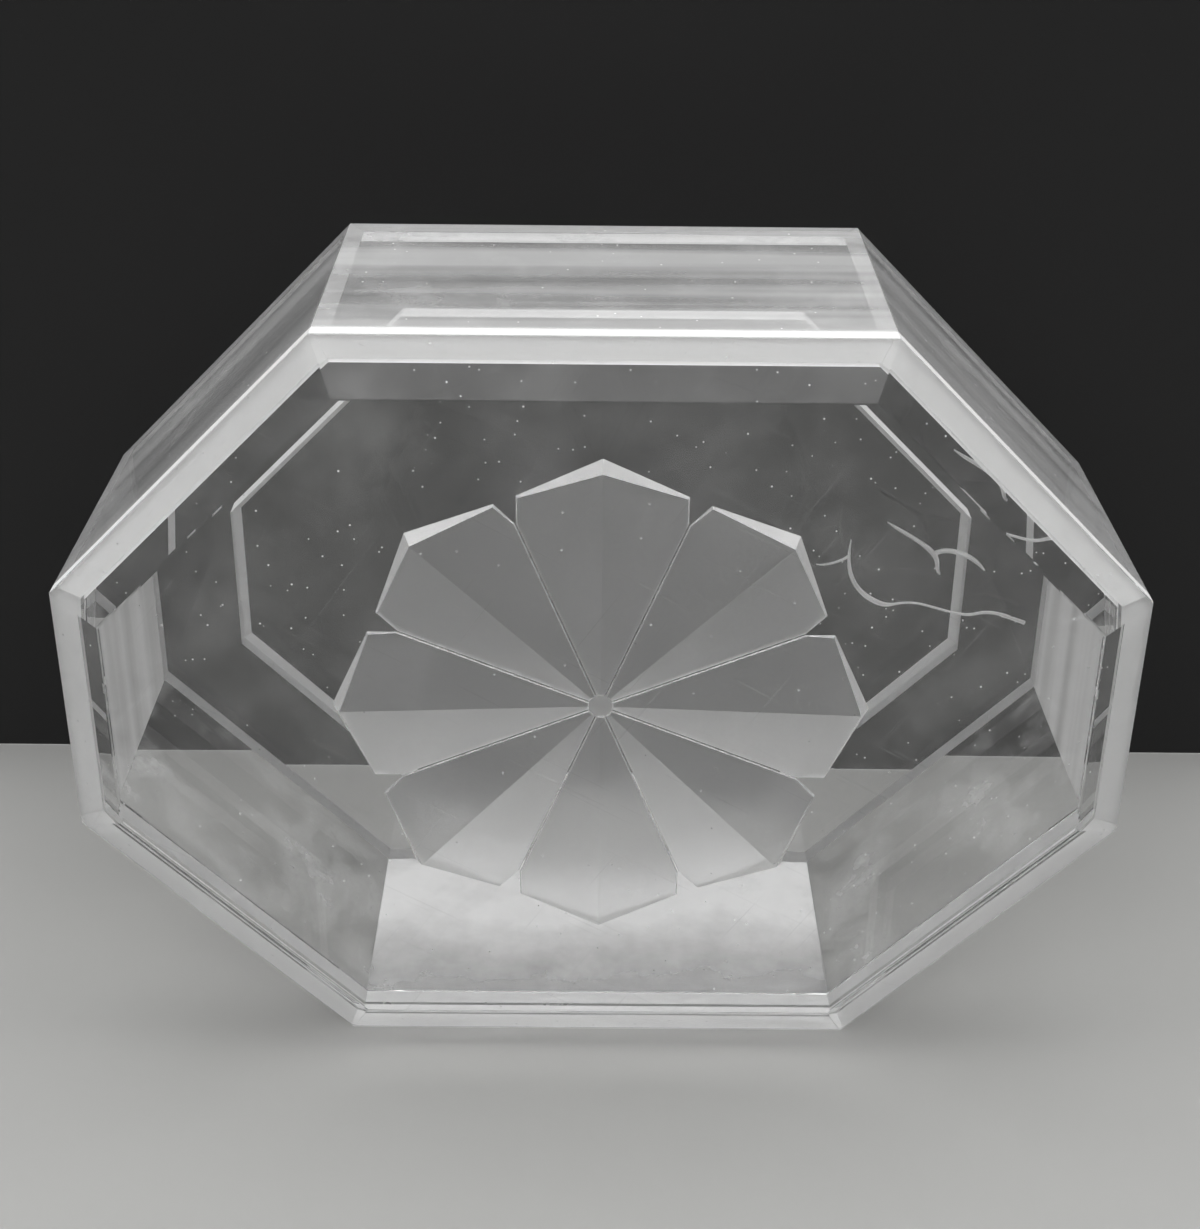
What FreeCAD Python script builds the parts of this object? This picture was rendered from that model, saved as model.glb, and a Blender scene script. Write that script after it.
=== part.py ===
import FreeCAD, Part
import math
import os
import re
import Sketcher

# Clear acrylic keepsake box, an elongated octagon, standing on one of its long sides with the lid in front.
# +X is to the right, +Y runs from the lid to the foot, +Z is up. The origin is the middle of the footprint.

# Driving sizes in millimetres
SIZES = [
    ("box_width", 101.6),
    ("box_height", 76.2),
    ("corner_cut", 25.4),
    ("wall_thickness", 3.2),
    ("wall_depth", 30.1),
    ("base_thickness", 3.2),
    ("foot_thickness", 3.2),
    ("foot_inset", 11.6),
    ("foot_chamfer", 0.8),
    ("lid_thickness", 4.8),
    ("lid_land", 1.9),
    ("bevel_width", 4.8),
    ("locator_thickness", 3.2),
    ("locator_clearance", 0.3),
    ("petal_tip_radius", 25.7),
    ("petal_shoulder_radius", 22.0),
    ("petal_hub_radius", 1.15),
    ("petal_half_width", 7.9),
    ("petal_gap", 0.15),
    ("petal_depth", 2.6),
    ("petal_hub_depth", 0.3),
    ("petal_side_depth", 0.5),
    ("petal_wall_run", 0.8),
    ("cut_overrun", 0.1),
]
PETALS = 8

doc = FreeCAD.newDocument("acrylic_box")
sheet = doc.addObject("Spreadsheet::Sheet", "Sizes")
for row, (alias, value) in enumerate(SIZES, start=1):
    sheet.set("A%d" % row, alias)
    sheet.set("B%d" % row, str(value))
    sheet.setAlias("B%d" % row, alias)
doc.recompute()
size = {alias: float(sheet.get(alias)) for alias, value in SIZES}


def cells(formula):
    """Writes the sheet's name before each size in a formula."""
    names = "|".join(alias for alias, value in SIZES)
    return re.sub(r"\b(%s)\b" % names, r"<<Sizes>>.\1", formula)


# Places along Y and Z: the rim is where the lid plate meets the walls
RIM_Y = "(lid_thickness - (lid_thickness + wall_depth + foot_thickness) / 2)"
CENTRE_Z = "box_height / 2"


def place(item, x, y, z):
    """Binds an item's place to the sheet."""
    for axis, formula in zip("xyz", (x, y, z)):
        item.setExpression("Placement.Base." + axis, cells(formula))


def new_body(label):
    body = doc.addObject("PartDesign::Body", label)
    body.Label = label
    return body


def outline(body, name, corners, forward="0"):
    """A closed outline, each corner a pair of formulas, on a plane this far in front of the body's own."""
    sketch = body.newObject("Sketcher::SketchObject", name)
    plane = [item for item in body.Origin.OriginFeatures if item.Role == "XZ_Plane"][0]
    sketch.AttachmentSupport = [(plane, "")]
    sketch.MapMode = "FlatFace"
    sketch.setExpression("AttachmentOffset.Base.z", cells(forward))
    # the lines start as a regular polygon with its corners in the same order
    count = len(corners)
    turns = [2 * math.pi * (i + 0.5) / count for i in range(count)]
    start = [FreeCAD.Vector(math.sin(turn), math.cos(turn), 0) * size["box_width"] for turn in turns]
    for i in range(count):
        sketch.addGeometry(Part.LineSegment(start[i - 1], start[i]), False)
    for i in range(count):
        sketch.addConstraint(Sketcher.Constraint("Coincident", (i - 1) % count, 2, i, 1))
    for i, corner in enumerate(corners):
        for kind, formula, here in zip(("DistanceX", "DistanceY"), corner, (start[i].x, start[i].y)):
            number = sketch.addConstraint(Sketcher.Constraint(kind, -1, 1, i, 2, here))
            sketch.renameConstraint(number, "%s_%d" % (kind, i))
            sketch.setExpression("Constraints.%s_%d" % (kind, i), cells(formula))
    return sketch


def octagon(inset):
    """Corners of the box's outline drawn in by an inset, clockwise from the right end of the top."""
    half_width = "(box_width / 2 - (%s))" % inset
    half_height = "(box_height / 2 - (%s))" % inset
    cut = "(corner_cut - (%s) * (2 - sqrt(2)))" % inset
    side = "(%s - %s)" % (half_height, cut)
    top = "(%s - %s)" % (half_width, cut)
    right = [(top, half_height), (half_width, side), (half_width, "-" + side), (top, "-" + half_height)]
    left = [("-" + x, z) for x, z in reversed(right)]
    return right + left


def pad(body, sketch, length, to_back):
    """Pads an outline towards the foot, or else towards the lid."""
    feature = body.newObject("PartDesign::Pad", sketch.Name + "_pad")
    feature.Profile = sketch
    feature.setExpression("Length", cells(length))
    feature.Reversed = to_back
    body.Tip = feature


def bevelled_plate(label, inset, land, bevel_width, thickness, to_back):
    """An octagonal plate with a square edge on one face and a flat bevel round the other."""
    sign = "-" if to_back else ""
    body = new_body(label)
    edge = outline(body, label + "_edge", octagon(inset))
    pad(body, edge, land, to_back)
    foot = outline(body, label + "_bevel_foot", octagon(inset), "%s(%s)" % (sign, land))
    face = outline(body, label + "_face", octagon("%s + %s" % (inset, bevel_width)), "%s(%s)" % (sign, thickness))
    bevel = body.newObject("PartDesign::AdditiveLoft", label + "_bevel")
    bevel.Profile = foot
    bevel.Sections = [face]
    bevel.Ruled = True
    body.Tip = bevel
    return body


def wall(label, length, turn, x, z):
    """A strip of sheet mitred at both ends, with its outer face here, turned about Y from the top wall."""
    body = new_body(label)
    outer = "((%s) / 2)" % length
    inner = "(%s - wall_thickness * tan(22.5 deg))" % outer
    right = [(outer, "0"), (inner, "-wall_thickness")]
    left = [("-" + across, up) for across, up in reversed(right)]
    pad(body, outline(body, label + "_section", right + left), "wall_depth", True)
    body.Placement.Rotation = FreeCAD.Rotation(FreeCAD.Vector(0, 1, 0), turn)
    place(body, x, RIM_Y, z)
    return body


# Eight walls cemented in a ring
LONG, SHORT, SLANT = "box_width - 2 * corner_cut", "box_height - 2 * corner_cut", "corner_cut * sqrt(2)"
SIDE_X, SLANT_X = "box_width / 2", "(box_width - corner_cut) / 2"
HIGH_Z, LOW_Z = "box_height - corner_cut / 2", "corner_cut / 2"
subparts = [
    wall("wall_top", LONG, 0, "0", "box_height"),
    wall("wall_upper_right", SLANT, 45, SLANT_X, HIGH_Z),
    wall("wall_right", SHORT, 90, SIDE_X, CENTRE_Z),
    wall("wall_lower_right", SLANT, 135, SLANT_X, LOW_Z),
    wall("wall_bottom", LONG, 180, "0", "0"),
    wall("wall_lower_left", SLANT, 225, "-" + SLANT_X, LOW_Z),
    wall("wall_left", SHORT, 270, "-" + SIDE_X, CENTRE_Z),
    wall("wall_upper_left", SLANT, 315, "-" + SLANT_X, HIGH_Z),
]

# Base plate, cemented between the walls and level with their back ends
base_plate = new_body("base_plate")
pad(base_plate, outline(base_plate, "base_plate_outline", octagon("wall_thickness")), "base_thickness", True)
place(base_plate, "0", RIM_Y + " + wall_depth - base_thickness", CENTRE_Z)
subparts.append(base_plate)

# Foot plate, cemented behind the base plate, with its back edges eased
foot_plate = bevelled_plate("foot_plate", "foot_inset", "foot_thickness - foot_chamfer", "foot_chamfer",
                            "foot_thickness", True)
place(foot_plate, "0", RIM_Y + " + wall_depth", CENTRE_Z)
subparts.append(foot_plate)

# Lid plate, as wide as the walls, with a broad bevel round its front
lid_plate = bevelled_plate("lid_plate", "0", "lid_land", "bevel_width", "lid_thickness", False)
place(lid_plate, "0", RIM_Y, CENTRE_Z)
subparts.append(lid_plate)


def petal_solid():
    """One carved petal pointing up: two long facets that fall to a middle line, inside steep walls."""
    half = size["petal_half_width"]
    shoulder = size["petal_shoulder_radius"]
    tip = size["petal_tip_radius"]
    hub = size["petal_hub_radius"]
    hub_depth = size["petal_hub_depth"]
    surface = size["locator_thickness"]
    turn = math.pi / PETALS
    point_of_sector = size["petal_gap"] / 2 / math.sin(turn)
    long_fall = (size["petal_depth"] - hub_depth) / (tip - hub)
    cross_rise = (hub_depth + long_fall * (shoulder - hub) - size["petal_side_depth"]) / half
    lean = size["petal_wall_run"] / size["petal_depth"]

    # each flat that bounds the petal, as a point on it and the direction out of the petal
    flats = [((0, surface + size["cut_overrun"], 0), (0, 1, 0)), ((0, surface, hub), (0, -lean, -1))]
    for side in (1, -1):
        end_length = math.hypot(tip - shoulder, half)
        flats += [
            ((0, surface - hub_depth, hub), (side * cross_rise, -1, -long_fall)),
            ((0, surface, point_of_sector), (side * math.cos(turn), -lean, -math.sin(turn))),
            ((side * half, surface, shoulder), (side, -lean, 0)),
            ((0, surface, tip), (side * (tip - shoulder) / end_length, -lean, half / end_length)),
        ]
    reach = 2 * tip
    solid = Part.makeBox(2 * reach, 2 * reach, 2 * reach, FreeCAD.Vector(-reach, -reach, -reach))
    for point, outward in flats:
        waste = Part.makeBox(8 * reach, 8 * reach, 8 * reach, FreeCAD.Vector(-4 * reach, -4 * reach, 0))
        waste.Placement = FreeCAD.Placement(FreeCAD.Vector(*point),
                                            FreeCAD.Rotation(FreeCAD.Vector(0, 0, 1), FreeCAD.Vector(*outward)))
        solid = solid.cut(waste)
    return solid.Solids[0]


# Locating plate, cemented behind the lid plate and loose inside the walls, with the rosette cut in its back
blank = new_body("locating_blank")
pad(blank, outline(blank, "locating_outline", octagon("wall_thickness + locator_clearance")), "locator_thickness",
    True)
petals = []
for i in range(PETALS):
    petal = doc.addObject("Part::Feature", "petal_%d" % (i + 1))
    petal.Shape = petal_solid()
    petal.Placement = FreeCAD.Placement(FreeCAD.Vector(), FreeCAD.Rotation(FreeCAD.Vector(0, 1, 0), 360 * i / PETALS))
    petals.append(petal)
rosette = doc.addObject("Part::Compound", "rosette")
rosette.Links = petals
locating_plate = doc.addObject("Part::Cut", "locating_plate")
locating_plate.Base = blank
locating_plate.Tool = rosette
place(locating_plate, "0", RIM_Y, CENTRE_Z)
subparts.append(locating_plate)

doc.recompute()
for item in doc.Objects:
    if "Invalid" in item.State or "Error" in item.State:
        raise RuntimeError("%s did not recompute: %s" % (item.Label, item.State))
for item in subparts:
    if item.Shape.isNull() or not item.Shape.isValid():
        raise RuntimeError("%s has no valid shape" % item.Label)
    if len(item.Shape.Solids) != 1:
        raise RuntimeError("%s is not one solid" % item.Label)

os.makedirs("parts", exist_ok=True)
for item in subparts:
    item.Shape.exportStep("parts/%s.step" % item.Label)
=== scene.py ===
import bpy
from math import radians
from mathutils import Matrix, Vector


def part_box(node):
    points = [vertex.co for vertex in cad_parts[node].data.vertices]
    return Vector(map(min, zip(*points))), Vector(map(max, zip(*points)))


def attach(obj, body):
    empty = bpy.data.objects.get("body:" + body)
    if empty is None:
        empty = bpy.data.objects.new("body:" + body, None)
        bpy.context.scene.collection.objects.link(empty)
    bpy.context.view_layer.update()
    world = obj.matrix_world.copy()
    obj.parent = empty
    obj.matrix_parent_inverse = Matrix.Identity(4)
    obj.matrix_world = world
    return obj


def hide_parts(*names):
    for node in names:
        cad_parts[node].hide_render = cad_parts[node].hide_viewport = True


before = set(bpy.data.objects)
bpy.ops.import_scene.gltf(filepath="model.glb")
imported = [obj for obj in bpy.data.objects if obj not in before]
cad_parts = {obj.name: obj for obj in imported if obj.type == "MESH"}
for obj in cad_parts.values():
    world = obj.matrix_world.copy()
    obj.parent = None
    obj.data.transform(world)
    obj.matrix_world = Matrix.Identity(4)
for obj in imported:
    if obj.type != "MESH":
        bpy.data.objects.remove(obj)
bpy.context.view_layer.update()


# The walls: eight strips of clear cast acrylic sheet, mitred at their ends and cemented into a ring. Each is the
# CAD strip drawn in by a cement film, so that two clear faces never lie in one plane, with outer arrises eased.
# Faces are polished and worn to different degrees, and some are painted whiter as painted light; cut ends and
# mitres are left as sawn or scraped smooth.
MM = 0.001
CEMENT_FILM = 0.015 * MM
EASED_ARRIS = 0.15 * MM
CENTRE_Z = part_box("lid_plate")[1].z / 2
HALF_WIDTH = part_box("lid_plate")[1].x
CORNER_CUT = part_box("wall_right")[0].z
WALLS = ["wall_top", "wall_upper_right", "wall_right", "wall_lower_right",
         "wall_bottom", "wall_lower_left", "wall_left", "wall_upper_left"]
ACRYLIC_COLOUR = "#FFFFFF"
ACRYLIC_IOR = 1.49


def linear(code):
    """An sRGB hex colour in linear light."""
    parts = [int(code[i:i + 2], 16) / 255 for i in (1, 3, 5)]
    return [p / 12.92 if p <= 0.04045 else ((p + 0.055) / 1.055) ** 2.4 for p in parts] + [1.0]


def node(tree, kind, inputs, **settings):
    """Adds a node with its settings; an input is a value, or another node's output to link."""
    added = tree.nodes.new(kind)
    for name, value in settings.items():
        setattr(added, name, value)
    for name, value in inputs.items():
        if isinstance(value, bpy.types.NodeSocket):
            tree.links.new(value, added.inputs[name])
        else:
            added.inputs[name].default_value = value
    return added


def acrylic(name, roughness, transmission):
    """A new acrylic finish: its node tree, its shader and the place on the piece."""
    finish = bpy.data.materials.new(name)
    finish.use_nodes = True
    tree = finish.node_tree
    shader = tree.nodes["Principled BSDF"]
    shader.inputs["Base Color"].default_value = linear(ACRYLIC_COLOUR)
    shader.inputs["Roughness"].default_value = roughness
    shader.inputs["IOR"].default_value = ACRYLIC_IOR
    shader.inputs["Transmission Weight"].default_value = transmission
    place = node(tree, "ShaderNodeTexCoord", {}).outputs["Object"]
    return finish, tree, shader, place


# buffing lines run along the strip, so they change only from lid to foot
BUFFING_LINE = (120 * MM, 4 * MM, 120 * MM)
CLOUD_SIZE = 12 * MM
# hairline scratches a few mm long, in two slanting directions
SCRATCH_SIZE = (0.22 * MM, 0.22 * MM, 14 * MM)
SCRATCH_TURNS = (35, -60)
SCRATCH_HAZE = 0.06
# dust specks about 0.2 mm across, two or three to the square centimetre of each surface
DUST_SPACING = 2 * MM
DUST_HAZE = 0.8


def worn_sheet(name, haze_and_painted_light_low, haze_and_painted_light_high, clouding):
    """Cast acrylic sheet with buffing haze in lines round the ring, clouding from handling, scratches and dust.

    Clear as water where it is clean; the haze, clouding and specks show whitish where light falls on them. Where
    the haze is set high it is painted light: white standing in for guided light on the end walls and for overhead
    sheen on the upward-facing walls.
    """
    finish, tree, shader, place = acrylic(name, roughness=0.0, transmission=1.0)
    lines = node(tree, "ShaderNodeMapping", {"Vector": place, "Scale": BUFFING_LINE}, vector_type="TEXTURE")
    haze = node(tree, "ShaderNodeTexNoise", {"Vector": lines.outputs["Vector"], "Scale": 1.0, "Detail": 2.0})
    haze = node(tree, "ShaderNodeMapRange", {"Value": haze.outputs["Fac"], "From Min": 0.35, "From Max": 0.65,
                                             "To Min": haze_and_painted_light_low, "To Max": haze_and_painted_light_high})
    marks = haze.outputs["Result"]
    cloud = node(tree, "ShaderNodeTexNoise", {"Vector": place, "Scale": 1 / CLOUD_SIZE, "Detail": 5.0,
                                              "Roughness": 0.65})
    cloud = node(tree, "ShaderNodeMapRange", {"Value": cloud.outputs["Fac"], "From Min": 0.48, "From Max": 0.68,
                                              "To Min": 0.0, "To Max": clouding})
    wear = [cloud.outputs["Result"]]
    for turn in SCRATCH_TURNS:
        along = node(tree, "ShaderNodeMapping", {"Vector": place, "Rotation": (0, radians(turn), 0),
                                                 "Scale": SCRATCH_SIZE}, vector_type="TEXTURE")
        line = node(tree, "ShaderNodeTexNoise", {"Vector": along.outputs["Vector"], "Scale": 1.0, "Detail": 0.0})
        line = node(tree, "ShaderNodeMapRange", {"Value": line.outputs["Fac"], "From Min": 0.8, "From Max": 0.86,
                                                 "To Min": 0.0, "To Max": SCRATCH_HAZE})
        wear.append(line.outputs["Result"])
    dust = node(tree, "ShaderNodeTexVoronoi", {"Vector": place, "Scale": 1 / DUST_SPACING})
    speck = node(tree, "ShaderNodeMapRange", {"Value": dust.outputs["Distance"], "From Min": 0.04,
                                              "From Max": 0.055, "To Min": DUST_HAZE, "To Max": 0.0})
    wear.append(speck.outputs["Result"])
    for more in wear:
        added = node(tree, "ShaderNodeMath", {0: marks, 1: more}, operation="ADD", use_clamp=True)
        marks = added.outputs["Value"]
    clear = node(tree, "ShaderNodeMath", {0: 1.0, 1: marks}, operation="SUBTRACT")
    tree.links.new(clear.outputs["Value"], shader.inputs["Transmission Weight"])
    return finish


# tooth marks run through the sheet's thickness
TOOTH_SPACING = 0.5 * MM
TOOTH_LENGTH = 8 * MM
TOOTH_DEPTH = 0.05 * MM


def cut_edge(name, transmission):
    """A cut edge of cast acrylic: white and matt as the saw left it, paler and half clear where scraped smooth."""
    finish, tree, shader, place = acrylic(name, roughness=0.5, transmission=transmission)
    teeth = node(tree, "ShaderNodeMapping", {"Vector": place, "Scale": (1 / TOOTH_SPACING, 1 / TOOTH_LENGTH,
                                                                        1 / TOOTH_SPACING)})
    marks = node(tree, "ShaderNodeTexNoise", {"Vector": teeth.outputs["Vector"], "Scale": 1.0, "Detail": 2.0})
    rough = node(tree, "ShaderNodeMapRange", {"Value": marks.outputs["Fac"], "From Min": 0.3, "From Max": 0.7,
                                              "To Min": 0.4, "To Max": 0.6})
    tree.links.new(rough.outputs["Result"], shader.inputs["Roughness"])
    bump = node(tree, "ShaderNodeBump", {"Height": marks.outputs["Fac"], "Strength": 0.3, "Distance": TOOTH_DEPTH})
    tree.links.new(bump.outputs["Normal"], shader.inputs["Normal"])
    return finish


# painted light: milky whiteness grows from the lid's side to the foot's, between these places along Y
PAINTED_LIGHT_FROM, PAINTED_LIGHT_TO = -10 * MM, 2 * MM
PAINTED_LIGHT_LEAST = 0.15
SMEAR_SIZE = 8 * MM
SMEAR_STRENGTH = 0.15


def painted_light_sheet():
    """Cast acrylic painted milky white, most towards the foot: painted light standing in for light falling on the
    bottom wall's far half from behind, with darker smears.
    """
    finish, tree, shader, place = acrylic("cast acrylic painted lighter towards the foot", roughness=0.0, transmission=1.0)
    depth = node(tree, "ShaderNodeSeparateXYZ", {"Vector": place})
    painted_light_towards_foot = node(tree, "ShaderNodeMapRange", {"Value": depth.outputs["Y"], "From Min": PAINTED_LIGHT_FROM,
                                               "From Max": PAINTED_LIGHT_TO, "To Min": PAINTED_LIGHT_LEAST, "To Max": 1.0})
    smear = node(tree, "ShaderNodeTexNoise", {"Vector": place, "Scale": 1 / SMEAR_SIZE, "Detail": 5.0,
                                              "Roughness": 0.65})
    smear = node(tree, "ShaderNodeMapRange", {"Value": smear.outputs["Fac"], "From Min": 0.3, "From Max": 0.7,
                                              "To Min": SMEAR_STRENGTH, "To Max": -SMEAR_STRENGTH})
    milky = node(tree, "ShaderNodeMath", {0: painted_light_towards_foot.outputs["Result"], 1: smear.outputs["Result"]},
                 operation="ADD", use_clamp=True)
    clear = node(tree, "ShaderNodeMath", {0: 1.0, 1: milky.outputs["Value"]}, operation="SUBTRACT")
    tree.links.new(clear.outputs["Value"], shader.inputs["Transmission Weight"])
    return finish


# the bottom wall's inner face, painted whiter towards the foot as painted light
painted_light_towards_foot = painted_light_sheet()
polished = worn_sheet("polished cast acrylic", 0.0, 0.0, 0.05)
handled = worn_sheet("handled cast acrylic", 0.0, 0.02, 0.35)
# haze on the upward-facing walls: partly buffing lines, partly painted sheen of the overhead light
buffed_with_painted_sheen = worn_sheet("cast acrylic with buffing lines and painted sheen", 0.18, 0.46, 0.05)
# near-white haze on both faces of the end walls: painted glow standing in for light guided along the sheet
painted_glow_white = worn_sheet("cast acrylic painted white as guided light", 0.65, 1.0, 0.05)
scuffed = worn_sheet("scuffed cast acrylic", 0.85, 1.0, 0.3)
sawn = cut_edge("sawn acrylic edge", 0.05)
scraped = cut_edge("scraped acrylic edge", 0.4)

# points closer than this are one, faces within this angle are one flat, and heights within this are level
SAME_POINT = 0.001 * MM
SAME_FLAT = radians(0.5)
LEVEL = 0.1 * MM
ON_OUTLINE = 0.995


def edit(piece):
    """Opens one piece in edit mode with all of it selected."""
    bpy.ops.object.select_all(action="DESELECT")
    bpy.context.view_layer.objects.active = piece
    piece.select_set(True)
    bpy.ops.object.mode_set(mode="EDIT")
    bpy.ops.mesh.select_all(action="SELECT")


def outer_share(point):
    """How far out a point lies, as a share of the way to the box's octagonal outline."""
    x, z = abs(point.x), abs(point.z - CENTRE_Z)
    return max(x / HALF_WIDTH, z / CENTRE_Z, (x + z) / (HALF_WIDTH + CENTRE_Z - CORNER_CUT))


def sheet_piece(name, nodes, body, finishes, finish_of, is_arris):
    """A piece of sheet from CAD plates: joined where cemented face to face, drawn in, eased and finished."""
    copies = []
    for plate in nodes:
        piece = bpy.data.objects.new(name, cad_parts[plate].data.copy())
        bpy.context.scene.collection.objects.link(piece)
        piece.data.materials.clear()
        for finish in finishes:
            piece.data.materials.append(finish)
        edit(piece)
        bpy.ops.mesh.remove_doubles(threshold=SAME_POINT)
        bpy.ops.mesh.customdata_custom_splitnormals_clear()
        bpy.ops.mesh.dissolve_limited(angle_limit=SAME_FLAT)
        bpy.ops.object.mode_set(mode="OBJECT")
        copies.append(piece)
    piece = copies[0]
    for other in copies[1:]:
        bpy.context.view_layer.objects.active = piece
        cement = piece.modifiers.new("cement", "BOOLEAN")
        cement.operation = "UNION"
        cement.solver = "EXACT"
        cement.object = other
        bpy.ops.object.modifier_apply(modifier=cement.name)
        bpy.data.objects.remove(other)
    edit(piece)
    bpy.ops.mesh.remove_doubles(threshold=SAME_POINT)
    bpy.ops.mesh.dissolve_limited(angle_limit=SAME_FLAT)
    bpy.ops.mesh.select_all(action="SELECT")
    bpy.ops.mesh.faces_shade_flat()
    bpy.ops.transform.shrink_fatten(value=-CEMENT_FILM, use_even_offset=True)
    bpy.ops.mesh.select_mode(type="EDGE")
    bpy.ops.mesh.select_all(action="DESELECT")
    bpy.ops.object.mode_set(mode="OBJECT")
    spots = piece.data.vertices
    for line in piece.data.edges:
        line.select = is_arris(*[spots[i].co for i in line.vertices])
    bpy.ops.object.mode_set(mode="EDIT")
    bpy.ops.mesh.bevel(offset=EASED_ARRIS, segments=2, affect="EDGES")
    bpy.ops.object.mode_set(mode="OBJECT")
    for face in piece.data.polygons:
        face.material_index = finish_of(face)
    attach(piece, body)
    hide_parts(*nodes)


# a wall's finishes in order, and the bounds that tell its faces apart
INNER, EDGE, OUTER = range(3)
SQUARE_ON, EDGE_ON = 0.9, 0.1
MITRE_LEAST, MITRE_MOST = 0.2, 0.45
OUTER_FACE = 0.99


def wall_arris(a, b):
    """The outer edges at the rim and at the back."""
    return abs(a.y - b.y) < LEVEL and min(outer_share(a), outer_share(b)) > ON_OUTLINE


def wall_finish(face):
    """Cut ends and mitres have the edge finish; the outer face has its own."""
    along = abs(face.normal.y)
    mitred = MITRE_LEAST < abs(face.normal.x * face.normal.z) < MITRE_MOST
    if along > SQUARE_ON or (mitred and along < EDGE_ON):
        return EDGE
    return OUTER if outer_share(face.center) > OUTER_FACE else INNER


for wall in WALLS:
    # the end walls' finish is painted glow, the bottom's inner finish painted light, and the upward walls' haze
    # partly painted sheen
    outer = {"wall_top": buffed_with_painted_sheen, "wall_left": painted_glow_white, "wall_right": painted_glow_white, "wall_upper_left": buffed_with_painted_sheen,
             "wall_upper_right": buffed_with_painted_sheen, "wall_bottom": scuffed}.get(wall, polished)
    inner = {"wall_left": painted_glow_white, "wall_right": painted_glow_white, "wall_bottom": painted_light_towards_foot}.get(wall, handled)
    edge = scraped if "lower" in wall or wall in ("wall_left", "wall_right") else sawn
    sheet_piece(wall + "_strip", [wall], "box", (inner, edge, outer), wall_finish, wall_arris)


# The base: an octagonal plate cemented inside the back of the ring, with a smaller foot plate cemented behind it.
# Both are clear sheet with sawn edges, and seen through the lid those edges draw two pale octagons.
# Their cemented faces vanish to the eye, so the two plates are one clear piece here.
def base_finish(face):
    """Sawn edges, polished faces."""
    return EDGE if abs(face.normal.y) < SQUARE_ON else INNER


sheet_piece("base_and_foot", ["base_plate", "foot_plate"], "box", (polished, sawn), base_finish,
            lambda a, b: False)


# Dried cement: strings of solvent cement that ran onto the base plate's inner face when the box was put together.
# They are clear acrylic with tiny bubbles, so they look milky. Each is a thin round string lying on the plate.
CEMENT_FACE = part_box("base_plate")[0].y
WRINKLE_SIZE = 0.4 * MM
WRINKLE_DEPTH = 0.05 * MM
STRING_CREASE = radians(50)
# x, z and half width along each string, in millimetres
CEMENT_STRINGS = [
    [(26.3, 44.4, 0.06), (26.1, 42.5, 0.18), (26.3, 40.6, 0.22), (27.2, 38.7, 0.24), (28.8, 37.5, 0.32),
     (30.4, 36.7, 0.3), (31.5, 36.9, 0.12), (33.1, 37.2, 0.14), (34.9, 36.8, 0.14), (37.3, 36.0, 0.14),
     (39.7, 35.4, 0.18), (40.7, 36.1, 0.2), (42.5, 36.0, 0.2), (44.0, 35.4, 0.22), (45.6, 34.8, 0.25)],
    [(22.8, 41.5, 0.05), (23.5, 41.4, 0.12), (24.2, 41.5, 0.12), (25.6, 42.0, 0.12), (26.1, 42.5, 0.15)],
    [(30.0, 46.5, 0.06), (30.9, 45.9, 0.2), (32.5, 45.0, 0.2), (34.0, 44.0, 0.22), (35.2, 43.0, 0.35),
     (35.7, 42.1, 0.28), (35.6, 40.9, 0.2), (36.0, 40.5, 0.12)],
    [(35.2, 43.0, 0.25), (36.0, 43.4, 0.25), (37.0, 43.4, 0.25), (38.6, 43.0, 0.3), (39.9, 42.0, 0.25),
     (40.7, 41.0, 0.1)],
]


def dried_cement():
    """Dried solvent cement: milky and half clear, with a skin that dried in fine wrinkles."""
    finish, tree, shader, place = acrylic("dried acrylic cement", roughness=0.4, transmission=0.65)
    wrinkle = node(tree, "ShaderNodeTexNoise", {"Vector": place, "Scale": 1 / WRINKLE_SIZE, "Detail": 2.0})
    milky = node(tree, "ShaderNodeMapRange", {"Value": wrinkle.outputs["Fac"], "From Min": 0.3, "From Max": 0.7,
                                              "To Min": 0.55, "To Max": 0.85})
    tree.links.new(milky.outputs["Result"], shader.inputs["Transmission Weight"])
    bump = node(tree, "ShaderNodeBump", {"Height": wrinkle.outputs["Fac"], "Strength": 0.4,
                                         "Distance": WRINKLE_DEPTH})
    tree.links.new(bump.outputs["Normal"], shader.inputs["Normal"])
    return finish


strings = []
for path in CEMENT_STRINGS:
    bpy.ops.object.select_all(action="DESELECT")
    bpy.ops.curve.primitive_nurbs_path_add(location=(0, 0, 0))
    string = bpy.context.object
    # a point's radius is its half width in millimetres
    string.data.bevel_depth = MM
    string.data.bevel_resolution = 1
    string.data.resolution_u = 4
    string.data.use_fill_caps = True
    spots = string.data.splines[0].points
    spots.add(len(path) - len(spots))
    for spot, (x, z, half_width) in zip(spots, path):
        spot.co = (x * MM, CEMENT_FACE - half_width * MM, z * MM, 1)
        spot.radius = half_width
    bpy.ops.object.convert(target="MESH")
    strings.append(bpy.context.object)
for string in strings:
    string.select_set(True)
bpy.context.view_layer.objects.active = strings[0]
bpy.ops.object.join()
cement = strings[0]
cement.name = "cement_strings"
edit(cement)
bpy.ops.mesh.remove_doubles(threshold=SAME_POINT)
bpy.ops.mesh.normals_make_consistent(inside=False)
bpy.ops.object.mode_set(mode="OBJECT")
bpy.ops.object.shade_smooth_by_angle(angle=STRING_CREASE)
cement.data.materials.clear()
cement.data.materials.append(dried_cement())
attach(cement, "box")


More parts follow.
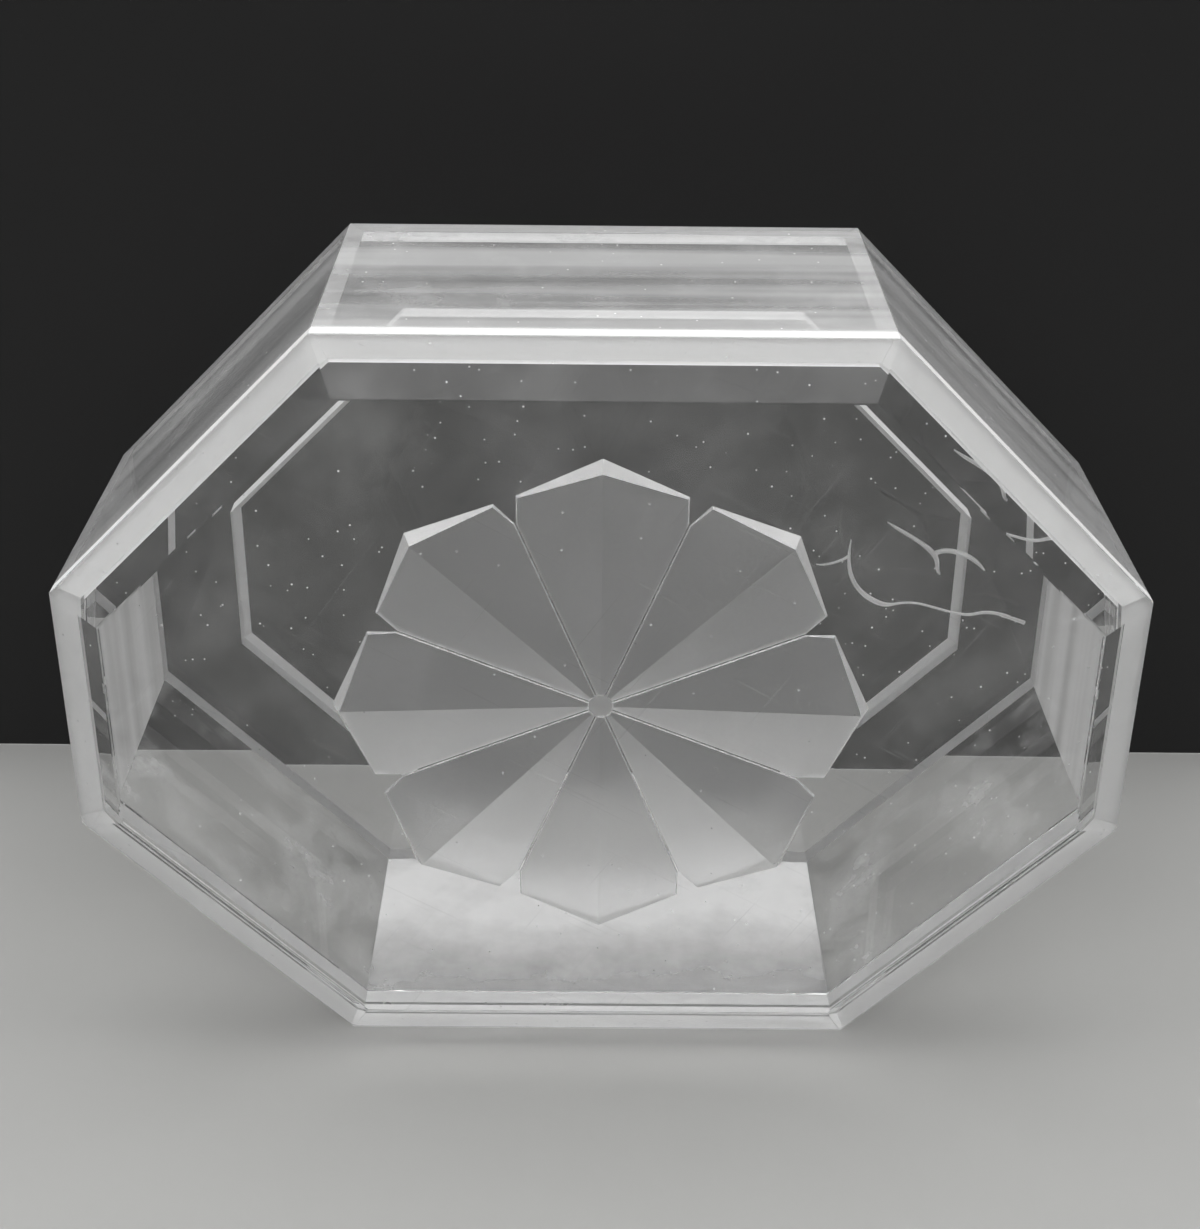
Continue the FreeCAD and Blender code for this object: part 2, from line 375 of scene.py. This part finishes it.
# The lid: a thick bevelled plate, loose on the rim, with a locating plate cemented behind it that drops between
# the walls. An eight-petal rosette is carved into the locating plate's back and left frosted from the cutter.
LID_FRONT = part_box("lid_plate")[0].y
LOCATOR_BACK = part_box("locating_plate")[1].y
ROSETTE_REACH = 27 * MM
CARVING_DEPTH = 3 * MM
PEEL_SIZE = 0.7 * MM
PEEL_DEPTH = 0.06 * MM
HUB_RADIUS = 1.2 * MM
HUB_FADE = 0.2 * MM
HUB_CLEAR = 0.65


def carved_facet():
    """Acrylic carved by a rotary cutter and left unpolished: frosted, with a fine orange peel."""
    finish, tree, shader, place = acrylic("carved acrylic", roughness=0.35, transmission=0.82)
    peel = node(tree, "ShaderNodeTexNoise", {"Vector": place, "Scale": 1 / PEEL_SIZE, "Detail": 3.0})
    rough = node(tree, "ShaderNodeMapRange", {"Value": peel.outputs["Fac"], "From Min": 0.3, "From Max": 0.7,
                                              "To Min": 0.32, "To Max": 0.44})
    tree.links.new(rough.outputs["Result"], shader.inputs["Roughness"])
    bump = node(tree, "ShaderNodeBump", {"Height": peel.outputs["Fac"], "Strength": 0.35, "Distance": PEEL_DEPTH})
    tree.links.new(bump.outputs["Normal"], shader.inputs["Normal"])
    return finish


def rough_hub_sheet():
    """Polished cast acrylic, left rough at the rosette's hub where the cutter's passes met: a small grey patch."""
    finish = worn_sheet("polished cast acrylic with rough hub", 0.0, 0.0, 0.05)
    tree = finish.node_tree
    transmission = tree.nodes["Principled BSDF"].inputs["Transmission Weight"]
    clear = transmission.links[0].from_socket
    place = node(tree, "ShaderNodeTexCoord", {}).outputs["Object"]
    from_hub = node(tree, "ShaderNodeVectorMath", {0: place, 1: (0, LOCATOR_BACK, CENTRE_Z)}, operation="DISTANCE")
    rough = node(tree, "ShaderNodeMapRange", {"Value": from_hub.outputs["Value"], "From Min": HUB_RADIUS,
                                              "From Max": HUB_RADIUS + HUB_FADE, "To Min": HUB_CLEAR,
                                              "To Max": 1.0})
    left_clear = node(tree, "ShaderNodeMath", {0: clear, 1: rough.outputs["Result"]}, operation="MULTIPLY")
    tree.links.new(left_clear.outputs["Value"], transmission)
    return finish


def from_axis(point):
    """Distance of a point from the middle of the rosette."""
    return (point.x ** 2 + (point.z - CENTRE_Z) ** 2) ** 0.5


# the lid's finishes in order; its edge is scraped at the ends and below, up to a little above the middle
SHEET, SAWN, CARVED, SCRAPED = range(4)
FLAT_FACE = 0.999
SCRAPED_TOP = CENTRE_Z + 10 * MM


def lid_finish(face):
    """Cut edges, the carved rosette and the polished faces."""
    along, middle = abs(face.normal.y), face.center
    if along < EDGE_ON and from_axis(middle) > ROSETTE_REACH:
        at_end_or_below = abs(middle.x) > HALF_WIDTH - CORNER_CUT and middle.z < SCRAPED_TOP
        return SCRAPED if at_end_or_below else SAWN
    carving = along < FLAT_FACE and from_axis(middle) < ROSETTE_REACH
    return CARVED if carving and middle.y > LOCATOR_BACK - CARVING_DEPTH else SHEET


def lid_arris(a, b):
    """The edges of the front face, of the outer edge and of the locating plate's back."""
    if abs(a.y - b.y) > LEVEL:
        return False
    outside = min(outer_share(a), outer_share(b)) > ON_OUTLINE
    front = a.y < LID_FRONT + LEVEL
    locator = a.y > LOCATOR_BACK - LEVEL and min(from_axis(a), from_axis(b)) > ROSETTE_REACH
    return outside or front or locator


sheet_piece("lid", ["lid_plate", "locating_plate"], "lid",
            (rough_hub_sheet(), sawn, carved_facet(), scraped), lid_finish, lid_arris)


# The setting: a pale floor, a dark board close behind the box, a broad softbox overhead, a second one in front and
# pale light all round. The board is a card that only faces the camera; from behind it can't be seen.
FLOOR_SIZE, FLOOR_PLACE = (3.0, 3.0), (0, 0, -0.05 * MM)
BOARD_SIZE, BOARD_PLACE = (0.18, 0.095), (0, 0.0385, 0.0475)
UPRIGHT = (radians(90), 0, 0)
SKY_COLOUR, SKY_STRENGTH = "#FFFFFF", 0.3
# name, size, watts, place and tilt in degrees
SOFTBOXES = [
    ("overhead softbox", (1.4, 0.4), 3.0, (0, 0.09, 0.45), -10),
    ("front softbox", (0.8, 0.5), 2.0, (0, -0.6, 0.5), 50),
]
# light guided along a clear sheet is reflected many times before it leaves
LIGHT_BOUNCES = 40


def stage_card(name, size, place, turn, colour, roughness):
    """A flat painted card that belongs to the setting."""
    bpy.ops.object.select_all(action="DESELECT")
    bpy.ops.mesh.primitive_plane_add(size=1.0, location=place, rotation=turn)
    card = bpy.context.object
    card.name = name
    card.scale = (size[0], size[1], 1)
    bpy.ops.object.transform_apply(location=True, rotation=True, scale=True)
    paint = bpy.data.materials.new(name)
    paint.use_nodes = True
    shader = paint.node_tree.nodes["Principled BSDF"]
    shader.inputs["Base Color"].default_value = linear(colour)
    shader.inputs["Roughness"].default_value = roughness
    card.data.materials.append(paint)
    return card


stage_card("pale floor", FLOOR_SIZE, FLOOR_PLACE, (0, 0, 0), "#B4B4B2", 0.6)
board = stage_card("dark board", BOARD_SIZE, BOARD_PLACE, UPRIGHT, "#1A1A1A", 0.9)
tree = board.data.materials[0].node_tree
facing = node(tree, "ShaderNodeNewGeometry", {})
unseen = node(tree, "ShaderNodeBsdfTransparent", {})
one_sided = node(tree, "ShaderNodeMixShader", {0: facing.outputs["Backfacing"],
                                               1: tree.nodes["Principled BSDF"].outputs["BSDF"],
                                               2: unseen.outputs["BSDF"]})
tree.links.new(one_sided.outputs["Shader"], tree.nodes["Material Output"].inputs["Surface"])

scene = bpy.context.scene
scene.cycles.blur_glossy = 0.0
scene.cycles.max_bounces = LIGHT_BOUNCES
scene.cycles.transmission_bounces = LIGHT_BOUNCES
scene.cycles.glossy_bounces = LIGHT_BOUNCES
scene.view_settings.view_transform = "Standard"
world = bpy.data.worlds.new("studio")
world.use_nodes = True
sky = world.node_tree.nodes["Background"]
sky.inputs["Color"].default_value = linear(SKY_COLOUR)
sky.inputs["Strength"].default_value = SKY_STRENGTH
scene.world = world
for name, size, watts, place, tilt in SOFTBOXES:
    lamp = bpy.data.lights.new(name, "AREA")
    lamp.shape = "RECTANGLE"
    lamp.size, lamp.size_y = size
    lamp.energy = watts
    softbox = bpy.data.objects.new(name, lamp)
    softbox.location = place
    softbox.rotation_euler = (radians(tilt), 0, 0)
    scene.collection.objects.link(softbox)

# the camera, fitted to the corners of the box in the photograph; its turns are in degrees
PHOTO_WIDTH = 1200
FOCAL_PIXELS = 1933.05
SENSOR_WIDTH = 36
CAMERA_PLACE = (-0.000889, -0.173174, 0.133784)
CAMERA_HEADING, CAMERA_DIP, CAMERA_ROLL = -0.268, 28.331, 0.595
lens = bpy.data.cameras.new("camera")
lens.sensor_fit = "HORIZONTAL"
lens.sensor_width = SENSOR_WIDTH
lens.lens = SENSOR_WIDTH * FOCAL_PIXELS / PHOTO_WIDTH
lens.clip_start = 0.01
camera = bpy.data.objects.new("camera", lens)
camera.matrix_world = (Matrix.Translation(CAMERA_PLACE)
                       @ Matrix.Rotation(radians(CAMERA_HEADING), 4, "Z")
                       @ Matrix.Rotation(radians(90 - CAMERA_DIP), 4, "X")
                       @ Matrix.Rotation(radians(CAMERA_ROLL), 4, "Z"))
scene.collection.objects.link(camera)
scene.camera = camera
